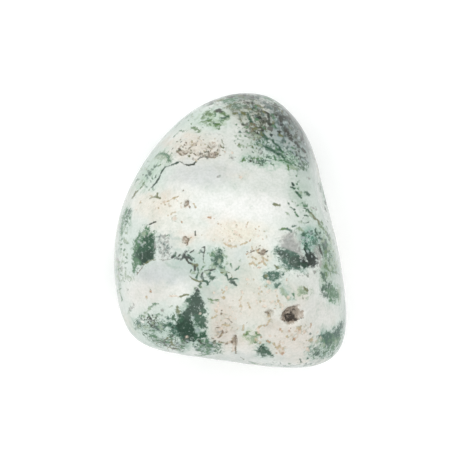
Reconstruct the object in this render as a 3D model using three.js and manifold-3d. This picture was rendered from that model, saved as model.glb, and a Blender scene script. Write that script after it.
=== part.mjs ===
// A tumbled tree agate pebble, about 30 mm long, lying on its broadest side.
//
// It starts as a broken lump of rock with flat faces, which tumbling has worn round. So the form
// is worked out from those faces: each is a plane at some distance from the middle of the lump,
// and a high power joins them, which leaves soft flats with round corners between them. Shallow
// hollows are pressed into that, a small flat is worn on the underside, and the open cavities that
// the polish could not reach are cut in last.
//
// Millimetres, +Z up. The origin is on the surface that the stone lies on, under the middle of
// its bounding box. +Y runs to the stone's narrow end, which is its longest way.

import * as THREE from "three";
import { mergeVertices } from "three/addons/utils/BufferGeometryUtils.js";
import Module from "manifold-3d";

const wasm = await Module();
wasm.setup();

// How sharply the worn faces meet: higher is more angular.
const EDGE_POWER = 11;

// The middle of the lump is this far above the surface that the stone lies on.
const MIDDLE_HEIGHT = 8.3;

// Each worn face: the way it looks, as degrees round from +X and degrees above the horizon, and
// its distance from the middle of the lump.
const WORN_FACES = [
  // Round the rim, anticlockwise from the right.
  [11, 4, 11.25],
  [40, 6, 13.75],
  [84, 8, 17.15],
  [112, 6, 14.6],
  [142, 10, 12.2],
  [163, -4, 12.8],
  [184, 6, 13.2],
  [208, 2, 17.0],
  [232, 0, 20.2],
  [262, -6, 13.85],
  [302, 5, 19.2],
  [324, -2, 26.0],
  [350, -8, 16.0],
  // The crown, and the slopes down from it.
  [250, 82, 10.1],
  [58, 60, 10.9],
  [88, 50, 12.0],
  [28, 42, 12.4],
  [350, 40, 13.0],
  [150, 42, 12.0],
  [200, 40, 13.2],
  [262, 42, 14.0],
  [318, 38, 18.0],
  // The broad underside, and the slopes up from it.
  [100, -86, 8.6],
  [80, -42, 13.4],
  [150, -45, 11.8],
  [215, -40, 13.6],
  [275, -46, 12.8],
  [325, -40, 16.0],
  [20, -45, 11.4],
];

// Soft hollows: degrees round, degrees up, depth, and the angle over which the hollow fades.
const HOLLOWS = [
  [21, 8, 0.95, 17],
  [228, 30, 0.25, 16],
  [110, -20, 0.35, 18],
  [300, -25, 0.3, 16],
];

// Open cavities in the polished face: place seen from above, measured from the middle of the
// stone's bounding box, half-width across and along, degrees that the long way is turned from +X,
// and depth.
const CAVITIES = [
  // The dark cavity near the wide end.
  { x: 6.65, y: -9.1, across: 1.15, along: 1.05, turn: 20, depth: 0.95 },
  // The rough patch near the narrow end, which is a cluster of small ones.
  { x: -4.9, y: 8.4, across: 0.55, along: 0.4, turn: 35, depth: 0.4 },
  { x: -3.9, y: 9.3, across: 0.5, along: 0.35, turn: 10, depth: 0.35 },
  { x: -3.2, y: 8.1, across: 0.6, along: 0.35, turn: -15, depth: 0.4 },
  { x: -1.9, y: 9.2, across: 0.45, along: 0.45, turn: 0, depth: 0.35 },
  { x: -1.9, y: 8.1, across: 0.6, along: 0.4, turn: 20, depth: 0.45 },
  // Lone ones.
  { x: -4.7, y: 2.85, across: 0.4, along: 0.3, turn: 60, depth: 0.35 },
  { x: -4.8, y: -1.05, across: 0.45, along: 0.35, turn: 100, depth: 0.35 },
  { x: 3.6, y: -2.4, across: 0.4, along: 0.25, turn: 50, depth: 0.3 },
  { x: 4.15, y: -8.9, across: 0.45, along: 0.4, turn: 0, depth: 0.35 },
  { x: 0.55, y: -12.0, across: 1.0, along: 0.22, turn: 92, depth: 0.4 },
];

// Edges of the icosahedron are split into this many and one more.
const STONE_DETAIL = 18;
const CAVITY_DETAIL = 3;

// A cavity's wall waves in and out by these shares of its half-width.
const LONG_WAVE = 0.1;
const SHORT_WAVE = 0.08;

// The surface over a place is found by this many halvings, and its slope over this step.
const HALVINGS = 40;
const SLOPE_STEP = 0.2;

// Points closer than this are one point.
const MERGE_GAP = 1e-4;

// The block under the stone has sides of this length.
const BLOCK_SIDE = 60;

const DEGREES = Math.PI / 180;

// The unit vector that looks so many degrees round from +X and up from the horizon.
function heading(round, up) {
  const level = Math.cos(up * DEGREES);
  return new THREE.Vector3(
    Math.cos(round * DEGREES) * level,
    Math.sin(round * DEGREES) * level,
    Math.sin(up * DEGREES),
  );
}

const faces = WORN_FACES.map(([round, up, distance]) => ({
  normal: heading(round, up),
  distance,
}));
const hollows = HOLLOWS.map(([round, up, depth, fade]) => ({
  middle: heading(round, up),
  depth,
  fade: fade * DEGREES,
}));

// How far the worn surface is from the middle of the lump in a direction: the power mean of
// the faces' reach there, less the hollows.
function reach(direction) {
  let sum = 0;
  for (const { normal, distance } of faces) {
    sum += Math.max(0, normal.dot(direction) / distance) ** EDGE_POWER;
  }
  let far = sum ** (-1 / EDGE_POWER);
  for (const { middle, depth, fade } of hollows) {
    far -= depth * Math.exp(-((direction.angleTo(middle) / fade) ** 2));
  }
  return far;
}

// The point of the surface in a direction from the middle of the lump.
function surfacePoint(direction) {
  const point = direction.clone().multiplyScalar(reach(direction));
  point.z += MIDDLE_HEIGHT;
  return point;
}

// The highest point of the surface over a place in plan, found by halving the elevation.
function surfaceOver(x, y) {
  const round = Math.atan2(y, x) / DEGREES;
  let low = 0;
  let high = 90;
  for (let halving = 0; halving < HALVINGS; halving++) {
    const up = (low + high) / 2;
    const point = surfacePoint(heading(round, up));
    if (Math.hypot(point.x, point.y) > Math.hypot(x, y)) low = up;
    else high = up;
  }
  return surfacePoint(heading(round, low));
}

// The outward normal of the surface over a place in plan, from its slope there.
function normalOver(x, y) {
  const west = surfaceOver(x - SLOPE_STEP, y).z;
  const east = surfaceOver(x + SLOPE_STEP, y).z;
  const south = surfaceOver(x, y - SLOPE_STEP).z;
  const north = surfaceOver(x, y + SLOPE_STEP).z;
  return new THREE.Vector3(
    west - east,
    south - north,
    2 * SLOPE_STEP,
  ).normalize();
}

// A closed geometry as a solid that can be cut, with only its places kept.
function solidOf(geometry) {
  const bare = new THREE.BufferGeometry().setAttribute(
    "position",
    geometry.getAttribute("position"),
  );
  bare.setIndex(geometry.index);
  const merged = mergeVertices(bare, MERGE_GAP);
  return new wasm.Manifold(
    new wasm.Mesh({
      numProp: 3,
      vertProperties: merged.getAttribute("position").array,
      triVerts: new Uint32Array(merged.index.array),
    }),
  );
}

// A solid's surface as a geometry.
function geometryOf(solid) {
  const mesh = solid.getMesh();
  const geometry = new THREE.BufferGeometry();
  const places = new THREE.BufferAttribute(mesh.vertProperties, mesh.numProp);
  geometry.setAttribute("position", places);
  geometry.setIndex(new THREE.BufferAttribute(mesh.triVerts, 1));
  geometry.computeVertexNormals();
  return geometry;
}

// The lump as worn round: an icosahedron's points moved out to the surface.
function wornLump() {
  const geometry = new THREE.IcosahedronGeometry(1, STONE_DETAIL);
  const places = geometry.getAttribute("position");
  const direction = new THREE.Vector3();
  for (let i = 0; i < places.count; i++) {
    direction.fromBufferAttribute(places, i).normalize();
    const point = surfacePoint(direction);
    places.setXYZ(i, point.x, point.y, point.z);
  }
  return solidOf(geometry);
}

// What the stone lies on: taking it away leaves the flat that is worn on the underside.
function groundBlock() {
  const block = new THREE.BoxGeometry(BLOCK_SIDE, BLOCK_SIDE, BLOCK_SIDE);
  block.translate(0, 0, -BLOCK_SIDE / 2);
  return solidOf(block);
}

// The rough lump of space that a cavity takes out of the stone at a place in plan, turned to face
// out of it.
function cavitySpace(x, y, { across, along, turn, depth }) {
  const geometry = new THREE.IcosahedronGeometry(1, CAVITY_DETAIL);
  const places = geometry.getAttribute("position");
  const direction = new THREE.Vector3();
  for (let i = 0; i < places.count; i++) {
    direction.fromBufferAttribute(places, i).normalize();
    const ragged =
      1 +
      LONG_WAVE * Math.sin(5 * direction.x + 3 * direction.y + x) +
      SHORT_WAVE * Math.sin(7 * direction.y - 4 * direction.z + y);
    direction.multiplyScalar(ragged);
    places.setXYZ(
      i,
      direction.x * across,
      direction.y * along,
      direction.z * depth,
    );
  }
  const upright = new THREE.Vector3(0, 0, 1);
  const facing = new THREE.Quaternion().setFromUnitVectors(
    upright,
    normalOver(x, y),
  );
  geometry.rotateZ(turn * DEGREES);
  geometry.applyQuaternion(facing);
  const mouth = surfaceOver(x, y);
  geometry.translate(mouth.x, mouth.y, mouth.z);
  return solidOf(geometry);
}

// The middle of a geometry's bounding box.
function boxMiddle(geometry) {
  geometry.computeBoundingBox();
  return geometry.boundingBox.getCenter(new THREE.Vector3());
}

// The whole stone: one solid, centred in plan over the origin.
function stoneGeometry() {
  let stone = wornLump().subtract(groundBlock());
  const uncut = boxMiddle(geometryOf(stone));
  for (const cavity of CAVITIES) {
    stone = stone.subtract(
      cavitySpace(uncut.x + cavity.x, uncut.y + cavity.y, cavity),
    );
  }
  const geometry = geometryOf(stone);
  const middle = boxMiddle(geometry);
  geometry.translate(-middle.x, -middle.y, 0);
  return geometry;
}

const polishedAgate = new THREE.MeshStandardMaterial({
  color: 0xdfe6df,
  roughness: 0.15,
  metalness: 0,
});

const stone = new THREE.Mesh(stoneGeometry(), polishedAgate);
stone.name = "stone";

const part = new THREE.Group();
part.add(stone);

export default part;
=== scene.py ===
import math
import bpy
import numpy as np
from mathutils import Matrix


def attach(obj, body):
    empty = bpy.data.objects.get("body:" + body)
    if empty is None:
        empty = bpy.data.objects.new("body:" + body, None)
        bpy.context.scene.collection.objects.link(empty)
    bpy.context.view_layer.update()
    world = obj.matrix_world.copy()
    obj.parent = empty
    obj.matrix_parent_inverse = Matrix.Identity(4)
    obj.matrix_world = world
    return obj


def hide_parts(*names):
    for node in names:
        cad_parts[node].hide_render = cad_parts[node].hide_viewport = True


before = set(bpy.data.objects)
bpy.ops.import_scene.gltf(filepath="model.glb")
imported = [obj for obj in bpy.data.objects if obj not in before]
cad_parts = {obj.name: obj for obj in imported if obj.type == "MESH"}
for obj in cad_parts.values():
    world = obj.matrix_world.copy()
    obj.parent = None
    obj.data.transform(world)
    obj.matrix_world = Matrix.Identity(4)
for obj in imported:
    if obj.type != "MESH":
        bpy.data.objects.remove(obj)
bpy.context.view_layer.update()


# The tumbled stone: one pebble of tree agate, white chalcedony with green moss-like threads grown in it.
# It was a broken piece of rock, rolled with grit until its broken faces ran into each other, and then
# polished. It is one piece and isn't fixed to anything: it lies on a small worn flat.

# The shape, in millimetres. Each worn face is a heading round from +X and up from level, in degrees, and
# its distance from the middle of the lump.
EDGE_POWER = 11
MIDDLE_HEIGHT = 8.3
WORN_FACES = np.array([
    (11, 4, 11.25), (40, 6, 13.75), (84, 8, 17.15), (112, 6, 14.6), (142, 10, 12.2), (163, -4, 12.8),
    (184, 6, 13.2), (208, 2, 17.0), (232, 0, 20.2), (262, -6, 13.85), (302, 5, 19.2), (324, -2, 26.0),
    (350, -8, 16.0),
    (250, 82, 10.1), (58, 60, 10.9), (88, 50, 12.0), (28, 42, 12.4), (350, 40, 13.0), (150, 42, 12.0),
    (200, 40, 13.2), (262, 42, 14.0), (318, 38, 18.0),
    (100, -86, 8.6), (80, -42, 13.4), (150, -45, 11.8), (215, -40, 13.6), (275, -46, 12.8),
    (325, -40, 16.0), (20, -45, 11.4),
])
# Shallow hollows between the faces: heading round and up, depth in millimetres, fade in degrees.
HOLLOWS = [(21, 8, 0.95, 17), (228, 30, 0.25, 16), (110, -20, 0.35, 18), (300, -25, 0.3, 16)]
GRID_STEPS = 128
TOP_PULL = 0.35
FLAT_EDGE = 0.12


def heading(around, up):
    """Unit vectors for headings in degrees: (cos up cos around, cos up sin around, sin up)."""
    around, up = np.radians(around), np.radians(up)
    return np.stack([np.cos(up) * np.cos(around), np.cos(up) * np.sin(around), np.sin(up)], axis=-1)


def cube_sphere(steps, pull):
    """A grid of two parameters on each of a cube's six faces, pushed out to a sphere.

    A face point is (1, tan a, tan b) with a and b from -45 to 45 degrees, scaled to length 1. Then pull
    times +Z is added and it is scaled to length 1 again, which draws the grid closer on the upper side.
    Points that two faces share are kept once, so the seams are closed. Returns directions and quads.
    """
    ticks = np.arange(steps + 1)
    first, second = np.meshgrid(ticks, ticks, indexing="ij")
    lattices = []
    for axis in range(3):
        for side in (0, steps):
            lattice = np.zeros(first.shape + (3,), dtype=np.int64)
            lattice[..., axis] = side
            pair = (first, second) if side else (second, first)
            lattice[..., (axis + 1) % 3] = pair[0]
            lattice[..., (axis + 2) % 3] = pair[1]
            lattices.append(lattice)
    lattice = np.stack(lattices)
    key = (lattice[..., 0] * (steps + 1) + lattice[..., 1]) * (steps + 1) + lattice[..., 2]
    kept, place = np.unique(key.ravel(), return_index=True)
    number = np.searchsorted(kept, key.ravel()).reshape(key.shape)
    points = np.tan(math.pi / 4 * (2 * lattice.reshape(-1, 3)[place] / steps - 1))
    points /= np.linalg.norm(points, axis=1, keepdims=True)
    points[:, 2] += pull
    points /= np.linalg.norm(points, axis=1, keepdims=True)
    corners = [number[:, :-1, :-1], number[:, 1:, :-1], number[:, 1:, 1:], number[:, :-1, 1:]]
    return points, np.stack(corners, axis=-1).reshape(-1, 4)


def lump_surface(directions):
    """Points of the worn lump: in each direction d its reach is (sum of (d.n / distance)^p)^(-1/p) over
    the worn faces n that d looks towards, less depth * exp(-(angle / fade)^2) for each hollow."""
    normals = heading(WORN_FACES[:, 0], WORN_FACES[:, 1])
    facing = np.maximum(directions @ normals.T / WORN_FACES[:, 2], 0)
    reach = (facing ** EDGE_POWER).sum(axis=1) ** (-1 / EDGE_POWER)
    for around, up, depth, fade in HOLLOWS:
        angle = np.degrees(np.arccos(np.clip(directions @ heading(around, up), -1, 1)))
        reach -= depth * np.exp(-(angle / fade) ** 2)
    points = directions * reach[:, None]
    points[:, 2] += MIDDLE_HEIGHT
    return points


def outward_normals(points, quads):
    """Each point's normal: the sum of its quads' diagonal cross products, scaled to length 1."""
    a, b, c, d = (points[quads[:, corner]] for corner in range(4))
    faces = np.cross(c - a, d - b)
    total = np.stack([sum(np.bincount(quads[:, corner], faces[:, axis], len(points)) for corner in range(4))
                      for axis in range(3)], axis=-1)
    return total / np.linalg.norm(total, axis=1, keepdims=True)


def smooth(value, low, high):
    """0 below low, 1 above high, and 3t^2 - 2t^3 between them, with t the share of the way."""
    share = np.clip((value - low) / (high - low), 0, 1)
    return share * share * (3 - 2 * share)


LATTICE = 32
OCTAVE_SHIFT = 7.3


def cloud(points, cell, seed, octaves=3):
    """Soft noise from about -1 to 1: random values on a cubic lattice of the given cell size, joined
    with the smooth step, plus the same at half the cell size and half the strength, and so on."""
    values = np.random.default_rng(seed).uniform(-1, 1, (LATTICE, LATTICE, LATTICE))
    total = np.zeros(len(points))
    for octave in range(octaves):
        place = points * (2 ** octave / cell) + OCTAVE_SHIFT * octave
        low = np.floor(place).astype(int)
        share = smooth(place - low, 0, 1)
        for corner in range(8):
            step = np.array([corner & 1, corner >> 1 & 1, corner >> 2 & 1])
            weight = np.where(step, share, 1 - share).prod(axis=1)
            at = (low + step) % LATTICE
            total += weight * values[at[:, 0], at[:, 1], at[:, 2]] * 0.5 ** octave
    return total


directions, quads = cube_sphere(GRID_STEPS, TOP_PULL)
lump = lump_surface(directions)
lump[:, :2] -= (lump[:, :2].max(axis=0) + lump[:, :2].min(axis=0)) / 2
lump_normals = outward_normals(lump, quads)

# The markings are laid out on the plan that the camera sees, in steps of 0.109 mm, which are the pixels
# of its 460 by 460 view: across from the left and down from the top. The plan has the camera's slight
# perspective in it, so the camera's height above the stone's widest level is set here.
PLAN_STEP = 30 / 275
PLAN_MIDDLE = np.array([230.0, 229.5])
CAMERA_HEIGHT = 450.0
HEIGHT_SHARE = 0.35


def plan_view(points):
    """Plan steps across, down and up: the pinhole view from the camera, and height times a share."""
    nearer = CAMERA_HEIGHT / (CAMERA_HEIGHT + MIDDLE_HEIGHT - points[:, 2])
    across = PLAN_MIDDLE[0] + points[:, 0] * nearer / PLAN_STEP
    down = PLAN_MIDDLE[1] - points[:, 1] * nearer / PLAN_STEP
    return np.stack([across, down, points[:, 2] * HEIGHT_SHARE / PLAN_STEP], axis=-1)


plan = plan_view(lump)

# The points that face up, which are those that the camera sees.
LEAST_UPWARD = 0.02
upward = np.flatnonzero(lump_normals[:, 2] > LEAST_UPWARD)


def laid_on_stone(path):
    """A spot (across, down, half width) or a path of them, with each one's height on the stone added."""
    path = np.array(path, dtype=float).reshape(-1, 3)
    nearest = [upward[np.argmin(((plan[upward, :2] - point[:2]) ** 2).sum(axis=1))] for point in path]
    return np.column_stack([path[:, :2], plan[nearest, 2], path[:, 2]])


def gap_to_path(places, path):
    """How far each place lies outside a chain of round-ended links whose half width changes evenly
    along each link: the distance to the nearest point of the link, less the half width there. A link
    of no length counts as a very short one."""
    no_length = 1e-9
    gap = np.linalg.norm(places - path[0, :3], axis=1) - path[0, 3]
    for start, end in zip(path[:-1], path[1:]):
        run = end[:3] - start[:3]
        share = np.clip((places - start[:3]) @ run / max(run @ run, no_length), 0, 1)
        there = start[:3] + share[:, None] * run
        link_gap = np.linalg.norm(places - there, axis=1) - start[3] - share * (end[3] - start[3])
        gap = np.minimum(gap, link_gap)
    return gap


# The inks of the markings: colour, how full a patch of it is (1 solid, 0.5 half open), how soft its edge
# is in plan steps, and how far it grows as threads (1) and not as a solid patch (0).
INKS = {
    "black": ("#0e2018", 1.00, 1.5, 0.0), "pitch": ("#0f3a26", 1.00, 1.5, 0.0),
    "deep": ("#245238", 0.94, 2.0, 0.1), "teal": ("#2a5a46", 0.90, 2.2, 0.1),
    "green": ("#4d7a55", 0.80, 2.4, 0.3), "moss": ("#577a42", 0.74, 2.2, 0.4),
    "olive": ("#6b7044", 0.74, 1.6, 0.2), "sage": ("#9db095", 0.80, 3.0, 0.3),
    "umber": ("#2d3223", 0.90, 1.4, 0.0), "brown": ("#7a6650", 0.78, 1.3, 0.1),
    "rust": ("#c09a7a", 0.70, 1.3, 0.0), "tan": ("#c4b28f", 0.64, 1.6, 0.1),
    "blush": ("#e5d5c3", 0.66, 2.0, 0.0), "slate": ("#5c7069", 0.84, 1.8, 0.1),
    # The chalk ink is the stone's chalky white, and it also paints glints: white specks that stand for
    # highlights.
    "mist": ("#aab9b6", 0.84, 1.2, 0.0), "chalk": ("#ecede6", 0.92, 0.9, 0.0),
    "smoke": ("#a8aaa5", 0.86, 3.5, 0.1), "mauve": ("#a5a59e", 0.76, 3.0, 0.2),
    "grains": ("#969b95", 0.60, 3.0, 0.2), "web": ("#474f3b", 0.52, 3.5, 1.0),
    "lace": ("#527058", 0.52, 4.0, 1.0), "mint lace": ("#47806a", 0.46, 4.0, 1.0),
}
GREEN_INKS = ("pitch", "deep", "teal", "green", "moss", "lace", "mint lace")

# The marks, in the order in which they are laid: an ink and its spots and strokes. A spot is one plan
# point with a half width (across, down, half width), and a stroke is a list of such points.
MARKS = [
    # Webs, laces and greys, which lie under all the others.
    ("mauve", (162, 310, 1), [(291, 237, 1.6), (287, 245, 2.4), (294, 243, 2.4), (297, 250, 3.4)],
     [(288, 270, 1), (295, 270, 1)], (331, 282, 0.7), [(297, 275, 0.6), (300, 275, 0.6)], (303, 275, 0.7),
     (308, 274.5, 0.7), (219, 331, 1.6), [(130, 309, 0.7), (134, 306, 0.7), (134, 303, 0.5)],
     (128, 289, 0.7), (232, 157, 1.4), (218, 176, 1), (309, 178, 0.9), [(312, 207, 0.6), (317, 209, 0.6)],
     [(318, 183, 0.9), (321, 190, 0.9)]),
    ("lace", [(250, 159, 1.4), (262, 160, 1.8)], [(126, 212, 3), (122, 226, 3)],
     [(176, 318, 3), (174, 330, 4), (172, 336, 4)], [(140, 324, 3), (150, 325, 2.6), (163, 326, 2.6)],
     [(146, 334, 1.4), (158, 341, 1.8)], [(200, 344, 3.5), (208, 347, 4.5), (217, 347, 3)],
     [(314, 352, 3), (325, 351, 4), (336, 346, 3)]),
    ("web", [(232, 106, 3), (246, 106, 4), (258, 112, 6), (260, 124, 6), (256, 135, 3)],
     [(272, 105, 3), (284, 112, 4), (294, 124, 4), (300, 136, 3)],
     [(147, 318, 1.5), (153, 322, 2.4), (160, 325, 2)],
     [(163, 342, 2.6), (172, 344, 3.2), (180, 347, 1.6)]),
    ("smoke", (236, 110, 0.9), [(118, 258, 1), (118, 266, 1.6), (119, 279, 1.2)],
     [(291, 233, 1.6), (288, 244, 6.5), (296, 250, 6.5)]),
    ("lace", [(260, 142, 2), (270, 147, 3), (283, 154, 3), (294, 160, 3), (304, 164, 2)]),
    ("grains", [(162, 242, 1.2), (165, 248, 1.6)]),
    ("mauve", [(303, 255, 2), (306, 258, 1)]),
    ("mint lace", [(308, 242, 4), (315, 238, 3), (320, 242, 4)]),
    ("lace", [(328, 248, 3), (330, 256, 4), (331, 264, 4)]),
    ("mauve", [(317, 249, 1.8), (319, 257, 3.6), (320, 264, 2.6)], (315, 271, 1)),
    # The dark end: olive loops at its left, then umber spots with pale rims, and green branches below.
    ("umber", (264, 127, 0.9), [(262, 130, 1.2), (265, 131, 0.9)],
     [(300, 129, 1), (302, 132, 1.3), (303, 139, 1.2)], (305, 143, 1.2),
     [(272, 97, 0.8), (281, 102, 1.1), (289, 108, 1)], [(230, 96, 0.8), (246, 95, 1)],
     [(311, 150, 0.7), (315, 160, 0.7)], [(317, 164, 0.6), (319, 171, 0.5)]),
    ("slate", [(277, 119, 2.4), (276, 128, 2)], [(284, 124, 2), (283, 141, 2.6)], (293, 124, 1.8),
     [(293, 152, 1.1), (297, 155, 1)], [(299, 155, 0.8), (304, 158, 1), (308, 162, 0.8)]),
    ("mist", (275, 118, 1.6), [(279, 137, 2.2), (281, 133, 1.6)], (290, 145, 2), (279, 131, 2.6)),
    ("olive", [(229, 105, 1), (233, 104.5, 1.3), (238, 107, 1.2), (241, 110, 0.9)],
     [(234, 113, 0.9), (238, 112, 0.7)], [(242, 112, 1), (245, 114, 0.9)],
     [(244, 101, 0.8), (249, 104, 1.3)]),
    ("umber", (279, 131, 1.4), [(286, 128, 1.4), (287, 133, 2), (289, 137, 2.2), (292, 139, 1.4)],
     [(296, 142, 1.6), (299, 146, 1.4)], [(302, 148, 1.1), (305, 152, 1.4)]),
    ("black", [(258, 117, 1.7), (262, 118, 1.8)], [(279, 114, 1.4), (282, 118, 2.2), (281, 124, 1.6)],
     (272, 135, 1.4), (299, 151, 0.9)),
    ("pitch", [(250, 109, 1.6), (253, 107, 2.2)]),
    ("deep", [(248, 113, 1.2), (249, 118, 2), (251, 122, 1.8), (255, 126, 1.1)],
     [(262, 146, 1.1), (266, 147, 1.3), (271, 148, 1.5), (276, 153, 1.6), (281, 155, 1.7), (284, 158, 1)]),
    ("olive", [(256, 105, 0.9), (260, 106, 1.4), (263, 107, 1.1)], [(253, 129, 1), (257, 128, 0.8)]),
    ("umber", [(260, 111, 1.3), (265, 112, 1.6), (269, 114, 1.3), (269, 119, 1)],
     [(267, 120, 1.2), (270, 124, 1.4), (274, 125, 0.9)], (273, 115, 1.3),
     [(285, 116, 1.6), (286, 119, 1.4)]),
    ("brown", (251, 124, 1.2), (252, 131, 1), [(257, 136, 0.9), (260, 138, 0.9)]),
    ("deep", [(261, 133, 1), (264, 136, 1.6), (267, 139, 1.5)],
     [(271, 139, 0.7), (275, 143, 0.9), (279, 148, 1), (283, 153, 1.2)]),
    ("slate", [(265, 102, 1.6), (267, 106, 1.8), (271, 109, 1.6)], (286, 147, 2)),
    ("mist", (264, 115, 1.2), (277, 148, 1.6)),
    ("olive", (273, 122, 1.3)),
    ("umber", (287, 154, 0.9)),
    ("green", [(270, 158, 0.5), (276, 160, 0.5), (284, 160, 0.6), (290, 162, 0.8), (297, 161, 0.6)]),
    ("moss", [(288, 165, 0.9), (288, 169, 0.7)]),
    ("sage", [(292, 167, 1.3), (296, 168, 0.9)]),
    # Moss sprays to the left of the dark end and below it, and the thread down the right-hand side.
    ("moss", [(202, 118, 1.2), (204, 114, 1.3), (208, 113, 1.5), (211, 115, 1.2)],
     [(202, 121, 0.8), (206, 120, 1), (211, 120, 1), (210, 124, 0.7)],
     [(213, 121, 1), (215, 124, 1.2), (219, 124, 0.9), (219, 128, 0.7)], [(193, 128, 1), (196, 129, 1.5)],
     [(199, 131, 0.9), (202, 130, 0.7)], [(238, 145, 0.7), (242, 144.5, 0.9)],
     [(242, 161, 0.7), (244, 158.5, 0.6), (246, 160, 0.6)],
     [(254, 158, 0.8), (257, 158.5, 1.1), (261, 157, 0.6)]),
    ("green", [(180, 130, 0.8), (183, 131, 0.8)], (187, 131, 0.7), [(177, 133, 0.5), (173, 137, 0.5)],
     (236, 124, 1), [(271, 163, 0.6), (274, 165, 0.5)], [(303, 202, 0.9), (306, 205, 1.3)],
     [(295, 212, 0.6), (298, 216, 0.6)]),
    ("deep", (214, 122, 0.9), [(262, 161, 1), (266, 160.5, 0.6)], [(306, 192, 0.7), (309, 194, 1.2)],
     [(304, 208, 0.6), (308, 209, 1.1), (311, 213, 1)]),
    ("olive", [(216, 110, 0.9), (217, 112, 0.7)],
     [(311, 213, 0.9), (314, 217, 0.8), (318, 220, 1), (320, 224, 1.2)],
     [(275, 204.5, 1.2), (280, 205, 0.8)]),
    ("moss", [(220, 111, 0.9), (224, 113, 1.3), (226, 115, 0.9)],
     [(220, 119, 1.1), (224, 118, 1.6), (229, 117, 1)], (322, 223, 1.6)),
    ("sage", (186, 117, 1.2), (192, 116, 1.2),
     [(321, 227, 1), (325, 231, 1.1), (330, 237, 1.4), (332, 243, 1)], [(326, 256, 0.9), (325, 266, 1)]),
    ("umber", (251, 161, 1), [(260, 165, 0.4), (263, 164.5, 0.5)]),
    ("deep", [(222, 118, 1), (228, 117, 1)]),
    ("teal", (240, 131, 1.3)),
    ("green", (239, 127, 0.7)),
    ("black", [(255, 162, 0.4), (258, 161.5, 0.5)]),
    ("pitch", [(292, 182, 0.9), (294, 185, 1)]),
    ("deep", [(291, 186, 0.8), (295, 188, 0.8)], [(296, 191, 0.7), (299, 194, 1.1), (301, 197, 1)]),
    ("green", [(297, 183, 0.9), (298, 180, 0.6)]),
    ("moss", [(321, 226, 0.8), (326, 231, 0.9), (331, 239, 0.9)]),
    # The left-hand edge: sprays, streaks along the rim and the deep patch with its twig.
    ("green", [(135, 184, 0.6), (136, 180, 0.8), (139, 179, 0.8)], [(127, 207, 0.9), (125, 213, 1.2)],
     (129, 217, 0.9), [(122, 222, 1.2), (122, 232, 1.4)], [(120, 290, 0.7), (122, 300, 0.8)],
     [(163, 237, 1), (168, 234, 0.6)]),
    ("deep", [(148, 170, 0.9), (150, 174, 1.6)], [(130, 208, 0.6), (128, 213, 0.7)]),
    ("moss", [(144, 182, 1.1), (143, 184, 0.9)], [(143, 185, 0.9), (139, 189, 1.2), (136, 192, 0.8)]),
    ("umber", (143, 174, 0.9), [(145, 229, 0.5), (147, 225, 0.6), (152, 223, 0.5), (156, 221, 0.6)]),
    ("green", [(146, 229, 3), (146, 235, 7), (142, 243, 8.5)], [(152, 234, 3.2), (153, 241, 3)]),
    ("sage", [(156, 157, 3), (163, 156, 4), (168, 156, 3)]),
    ("green", [(168, 156, 1.2), (169, 160, 1.2)], [(156, 155, 0.7), (160, 153, 0.7), (166, 154, 0.9)]),
    ("deep", [(155, 166, 1.6), (158, 165, 0.8)], [(150, 240, 5), (150, 248, 6.2), (146, 253, 9)]),
    ("moss", [(159, 165, 0.8), (161, 164, 0.6)]),
    ("teal", [(146, 174, 0.7), (148, 178, 1)]),
    ("olive", [(136, 191, 0.9), (132, 198, 0.8)]),
    ("green", [(138, 246, 5), (137, 257, 5)]),
    ("deep", [(142, 249, 4), (141, 258, 6.5)]),
    ("mist", (139, 241, 1), (142, 244, 0.8)),
    ("pitch", [(150, 252, 2.4), (146, 256, 4), (142, 262, 3)]),
    ("green", [(136, 262, 3.5), (134, 270, 2)]),
    ("sage", (144, 233, 1.2), [(125, 271, 1.4), (127, 276, 2.4), (130, 278, 1.4)]),
    ("brown", [(137, 274, 0.3), (143, 266, 0.4)]),
    ("olive", [(144, 264, 0.5), (149, 261, 0.5), (156, 259, 0.3), (163, 259, 0.3), (171, 259, 0.4)]),
    # Dark twigs in the middle.
    ("green", [(211, 255, 1.8), (215, 255, 3.4)], [(219, 252, 4), (219, 259, 5.4), (217, 264, 4)]),
    ("teal", (212, 259, 1.6), (236, 269, 1)),
    ("deep", [(220, 252, 1.6), (219, 259, 2.4), (216, 264, 1.4)],
     [(209, 276, 1.1), (213, 277, 1.8), (212, 280, 0.8)]),
    ("black", [(172, 257, 1.5), (175, 255, 1)]),
    ("deep", [(175, 255, 1), (176, 252, 0.9)]),
    ("black", [(176, 258, 1), (181, 259, 1.2), (183, 255.5, 1.8), (185, 252, 0.9), (188, 250.5, 0.6)],
     [(184, 257, 1.4), (189, 257.5, 1.2), (192, 259.5, 1)]),
    ("umber", [(190, 252, 0.6), (194, 249.5, 0.6)], [(186, 259, 1), (188, 262.5, 0.8), (193, 263.5, 0.9)],
     [(178, 256, 0.7), (180, 254, 0.6)]),
    ("olive", [(193, 264, 0.9), (197, 265, 1.5)], [(228, 279, 0.6), (232, 277, 0.6)]),
    ("umber", [(195, 266, 1), (195, 270, 0.8)]),
    ("deep", [(187, 254, 0.5), (191, 256, 0.6), (194, 258, 0.5)],
     [(198, 268, 0.7), (199, 273, 0.8), (196, 277, 0.6)], [(194, 273, 0.6), (191, 270, 0.5)]),
    ("slate", [(201, 250, 1), (203, 252, 0.9)]),
    ("umber", [(202, 247.5, 0.5), (205, 246.5, 0.7), (205, 250, 0.6), (203.5, 255, 0.6), (204, 262, 0.3)]),
    ("teal", [(220, 267, 1), (224, 268, 0.9)]),
    ("black", [(203, 278, 1.3), (202, 274, 1), (205, 271, 0.9), (210, 270, 1.2), (215, 268.5, 0.9)]),
    ("pitch", (202, 277, 1.6)),
    ("olive", [(190, 276, 0.6), (194, 279, 0.9), (199, 281, 1), (204, 280, 0.8)],
     [(221, 272, 0.6), (227, 271, 0.7), (231, 273, 0.7), (232, 276, 0.5)]),
    ("deep", [(204, 280, 0.8), (207, 281, 0.9), (208, 284, 0.9)], [(226, 273, 0.8), (228, 278, 0.7)],
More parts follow.
